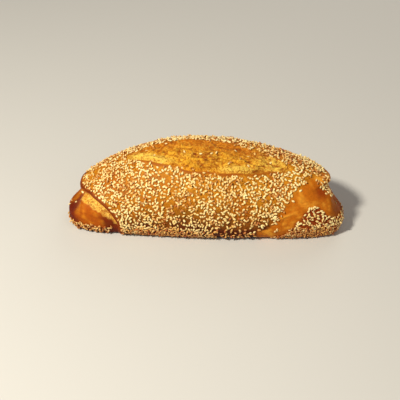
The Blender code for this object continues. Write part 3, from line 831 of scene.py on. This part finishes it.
def make_seeds(name, x, turn, tints, seed):
    """One joined mesh of seeds at these places, each turned, tilted and sized by chance."""
    draw = np.random.default_rng(seed)
    count = len(x)
    form, faces = seed_form()
    tilt = chance_angles(draw, count, *SEED_TILT)
    roll = chance_angles(draw, count, *SEED_ROLL)
    spin = draw.uniform(0.0, 2.0 * np.pi, count)
    axes = crust_axes(x, turn)
    pose = axes @ turned(0, 1, spin) @ turned(2, 0, tilt) @ turned(1, 2, roll)
    size = draw.uniform(*SEED_SCALES, (count, 1, 1)) * draw.uniform(*SIDE_SCALES, (count, 1, 3))
    lift = SEED_THICKNESS * (0.15 + 0.35 * draw.uniform(size=count) + 0.6 * np.abs(np.sin(tilt)))
    place = crust_point(x, turn) + axes[..., 2] * lift[:, None]
    points = (form * size) @ pose.transpose(0, 2, 1) + place[:, None, :]
    points[..., 2] = np.maximum(points[..., 2], 0.0)
    all_faces = faces[None, :, :] + (np.arange(count) * len(form))[:, None, None]
    mesh = bpy.data.meshes.new(name)
    mesh.from_pydata(points.reshape(-1, 3).tolist(), [], all_faces.reshape(-1, 3).tolist())
    # Painted shade: each seed is darker on its underside, where it lies on the crust, and all seeds are
    # darker near the table, with a little chance in each seed.
    under = ramp(form[:, 2] / SEED_THICKNESS, 0.15, -0.30)
    low = ramp(place[:, 2:], 0.022, 0.004)
    shade = np.clip(under + 0.40 * low + draw.uniform(-0.15, 0.10, (count, 1)), 0.0, 1.0)
    colours = blend(tints[:, None, :] * np.ones((1, len(form), 1)), tints[:, None, :] * SEED_PAINTED_SHADE, shade)
    add_colours(mesh, colours.reshape(-1, 3))
    mesh.shade_smooth()
    mesh.materials.append(seed_material(name))
    seeds = bpy.data.objects.new(name, mesh)
    bpy.context.scene.collection.objects.link(seeds)
    return seeds


def make_coat():
    """The seeds, as two pieces: the pale ones, and those that toasted in the oven."""
    x, turn = scatter_seeds()
    draw = np.random.default_rng(SCATTER_SEED + 1)
    heat = 0.5 + 0.5 * layered(crust_point(x, turn), *OVEN_HEAT) + draw.normal(size=len(x)) * 0.25
    # Seeds lower on the loaf are browner.
    heat += 0.50 * ramp(level(turn), 0.12, -0.25)
    toasted = heat > TOASTED_HEAT
    pale_tints = blend(SEED_CREAM, SEED_TAN, heat[~toasted])
    toasted_tints = blend(SEED_TAN, SEED_BROWN, draw.uniform(0.0, 1.0, toasted.sum()) ** 1.5)
    pale = make_seeds("sesame_pale", x[~toasted], turn[~toasted], pale_tints, SCATTER_SEED + 2)
    brown = make_seeds("sesame_toasted", x[toasted], turn[toasted], toasted_tints, SCATTER_SEED + 3)
    return [pale, brown]


# Materials


class Nodes:
    """A new material, with a short way to add and link its nodes."""

    def __init__(self, name):
        self.material = bpy.data.materials.new(name)
        self.material.use_nodes = True
        self.tree = self.material.node_tree
        self.shader = self.tree.nodes["Principled BSDF"]

    def add(self, kind, inputs=(), **settings):
        node = self.tree.nodes.new(kind)
        for key, value in settings.items():
            setattr(node, key, value)
        for key, value in dict(inputs).items():
            self.set(node.inputs[key], value)
        return node

    def set(self, socket, value):
        if isinstance(value, bpy.types.NodeSocket):
            self.tree.links.new(value, socket)
        else:
            socket.default_value = value

    def place(self):
        return self.add("ShaderNodeTexCoord").outputs["Object"]

    def noise(self, scale, detail, roughness=0.6):
        inputs = {"Vector": self.place(), "Scale": scale, "Detail": detail, "Roughness": roughness}
        return self.add("ShaderNodeTexNoise", inputs).outputs["Fac"]

    def map(self, value, old, new):
        """A value moved from its old range into a new one, and kept inside that."""
        inputs = {0: value, 1: old[0], 2: old[1], 3: new[0], 4: new[1]}
        return self.add("ShaderNodeMapRange", inputs).outputs[0]

    def math(self, operation, first, second):
        return self.add("ShaderNodeMath", {0: first, 1: second}, operation=operation).outputs[0]

    def mix(self, share, first, second, blend_type="MIX"):
        inputs = {"Factor": share, 6: first, 7: second}
        return self.add("ShaderNodeMix", inputs, data_type="RGBA", blend_type=blend_type).outputs[2]

    def attribute(self, name, output):
        return self.add("ShaderNodeAttribute", attribute_name=name).outputs[output]

    def shaded(self, colour, grain, old, new):
        """A colour made darker or lighter by a noise in this range."""
        shade = self.map(grain, old, new)
        grey = self.add("ShaderNodeCombineColor", {0: shade, 1: shade, 2: shade}).outputs[0]
        return self.mix(1.0, colour, grey, "MULTIPLY")

    def bump(self, height, strength, distance, normal=None):
        inputs = {"Height": height, "Strength": strength, "Distance": distance}
        if normal is not None:
            inputs["Normal"] = normal
        return self.add("ShaderNodeBump", inputs).outputs["Normal"]


def crust_material():
    """Baked crust: the zones' colours with fine mottling and pores, and crumbly where the dough tore;
    painted shade in its pits and in the gaps between the seeds, and painted light on the tops of its crumbs.
    """
    nodes = Nodes("loaf_crust")
    torn, seeded = nodes.attribute("torn", "Fac"), nodes.attribute("seeded", "Fac")
    mottle = nodes.noise(scale=420, detail=6, roughness=0.65)
    colour = nodes.shaded(nodes.attribute("tint", "Color"), mottle, (0.25, 0.75), (0.74, 1.20))
    crumb = nodes.noise(scale=520, detail=6, roughness=0.75)
    # Painted shade in the pits of the crumbly torn dough, where its bumps are low.
    pits = nodes.math("MULTIPLY", torn, nodes.map(crumb, (0.50, 0.41), (0.0, 0.90)))
    colour = nodes.mix(pits, colour, (*FURROW_SHADE, 1.0))
    # Painted light on the tops of the crumbly torn dough, where its bumps are high.
    tops = nodes.math("MULTIPLY", torn, nodes.map(crumb, (0.54, 0.66), (0.0, 0.7)))
    colour = nodes.mix(tops, colour, (*BURST_PALE_AND_LIGHT, 1.0))
    # Painted shade in the gaps between the seeds: patches of the seeded crust made dark brown.
    browned = nodes.noise(scale=600, detail=5, roughness=0.65)
    painted_gap_shade = nodes.math("MULTIPLY", seeded, nodes.map(browned, (0.54, 0.40), (0.0, 0.75)))
    colour = nodes.mix(painted_gap_shade, colour, (*COAT_BROWN_AND_SHADE, 1.0))
    pores = nodes.noise(scale=1500, detail=3, roughness=0.7)
    colour = nodes.mix(nodes.map(pores, (0.60, 0.72), (0.0, 0.45)), colour, (*FLECK, 1.0))
    nodes.set(nodes.shader.inputs["Base Color"], colour)
    nodes.set(nodes.shader.inputs["Roughness"], nodes.map(mottle, (0.3, 0.7), (0.50, 0.70)))
    skin = nodes.bump(nodes.noise(scale=700, detail=5), strength=0.35, distance=0.0006)
    crumbly = nodes.map(torn, (0.0, 1.0), (0.06, 1.0))
    normal = nodes.bump(crumb, strength=crumbly, distance=0.0016, normal=skin)
    nodes.set(nodes.shader.inputs["Normal"], normal)
    nodes.shader.inputs["Specular IOR Level"].default_value = 0.12
    return nodes.material


def seed_material(name):
    """Sesame: each seed's own colour, a little darker in its pits, with a faint oily gloss."""
    nodes = Nodes(name)
    grain = nodes.noise(scale=900, detail=4)
    colour = nodes.shaded(nodes.attribute("tint", "Color"), grain, (0.3, 0.7), (0.86, 1.08))
    nodes.set(nodes.shader.inputs["Base Color"], colour)
    nodes.set(nodes.shader.inputs["Roughness"], nodes.map(grain, (0.3, 0.7), (0.38, 0.55)))
    pitted = nodes.bump(nodes.noise(scale=2200, detail=3), strength=0.3, distance=0.0002)
    nodes.set(nodes.shader.inputs["Normal"], pitted)
    nodes.shader.inputs["Specular IOR Level"].default_value = 0.35
    return nodes.material


# The stage


def make_floor():
    """A plain pale floor, which is no part of the loaf."""
    mesh = bpy.data.meshes.new("floor")
    half = FLOOR_HALF
    corners = [(-half, -half, 0), (half, -half, 0), (half, half, 0), (-half, half, 0)]
    mesh.from_pydata(corners, [], [(0, 1, 2, 3)])
    floor = bpy.data.objects.new("floor", mesh)
    bpy.context.scene.collection.objects.link(floor)
    material = bpy.data.materials.new("floor")
    material.use_nodes = True
    shader = material.node_tree.nodes["Principled BSDF"]
    shader.inputs["Base Color"].default_value = FLOOR_COLOUR
    shader.inputs["Roughness"].default_value = FLOOR_ROUGHNESS
    mesh.materials.append(material)


def add_light(name, place, size, power, colour):
    """A soft disk of light that faces the loaf."""
    light = bpy.data.lights.new(name, "AREA")
    light.shape = "DISK"
    light.size = size
    light.energy = power
    light.color = colour
    lamp = bpy.data.objects.new(name, light)
    lamp.location = place
    lamp.rotation_euler = (Vector(place) - LOOK_AT).to_track_quat("Z", "Y").to_euler()
    bpy.context.scene.collection.objects.link(lamp)


def make_lights():
    """A soft key from the upper left, wide fills from the right and from behind, and an even pale sky."""
    for name, place, size, power, colour in LIGHTS:
        add_light(name, place, size, power, colour)
    world = bpy.data.worlds.new("studio")
    bpy.context.scene.world = world
    world.use_nodes = True
    sky = world.node_tree.nodes["Background"]
    sky.inputs["Color"].default_value = SKY_COLOUR
    sky.inputs["Strength"].default_value = SKY_STRENGTH


def make_camera():
    """The photograph's view: the loaf's middle falls on its own pixel of the frame."""
    azimuth, elevation = CAMERA_AZIMUTH, CAMERA_ELEVATION
    back = Vector((math.sin(azimuth), -math.cos(azimuth), 0.0)) * math.cos(elevation)
    back.z = math.sin(elevation)
    right = Vector((math.cos(azimuth), math.sin(azimuth), 0.0))
    up = back.cross(right)
    middle = FRAME_PIXELS / 2
    aside = right * (middle - LOAF_PIXEL[0]) * METRES_PER_PIXEL
    below = up * (LOAF_PIXEL[1] - middle) * METRES_PER_PIXEL
    camera = bpy.data.objects.new("camera", bpy.data.cameras.new("camera"))
    camera.location = LOOK_AT + back * CAMERA_DISTANCE
    facing = camera.location - (LOOK_AT + aside + below)
    camera.rotation_euler = facing.to_track_quat("Z", "Y").to_euler()
    camera.data.sensor_width = SENSOR_WIDTH
    camera.data.lens = SENSOR_WIDTH * CAMERA_DISTANCE / (FRAME_PIXELS * METRES_PER_PIXEL)
    bpy.context.scene.collection.objects.link(camera)
    bpy.context.scene.camera = camera


def main():
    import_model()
    make_camera()
    crust = make_crust()
    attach(crust, "root")
    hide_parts("loaf")
    for seeds in make_coat():
        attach(seeds, "root")
    make_floor()
    make_lights()
    bpy.context.scene.view_settings.view_transform = "Standard"


main()
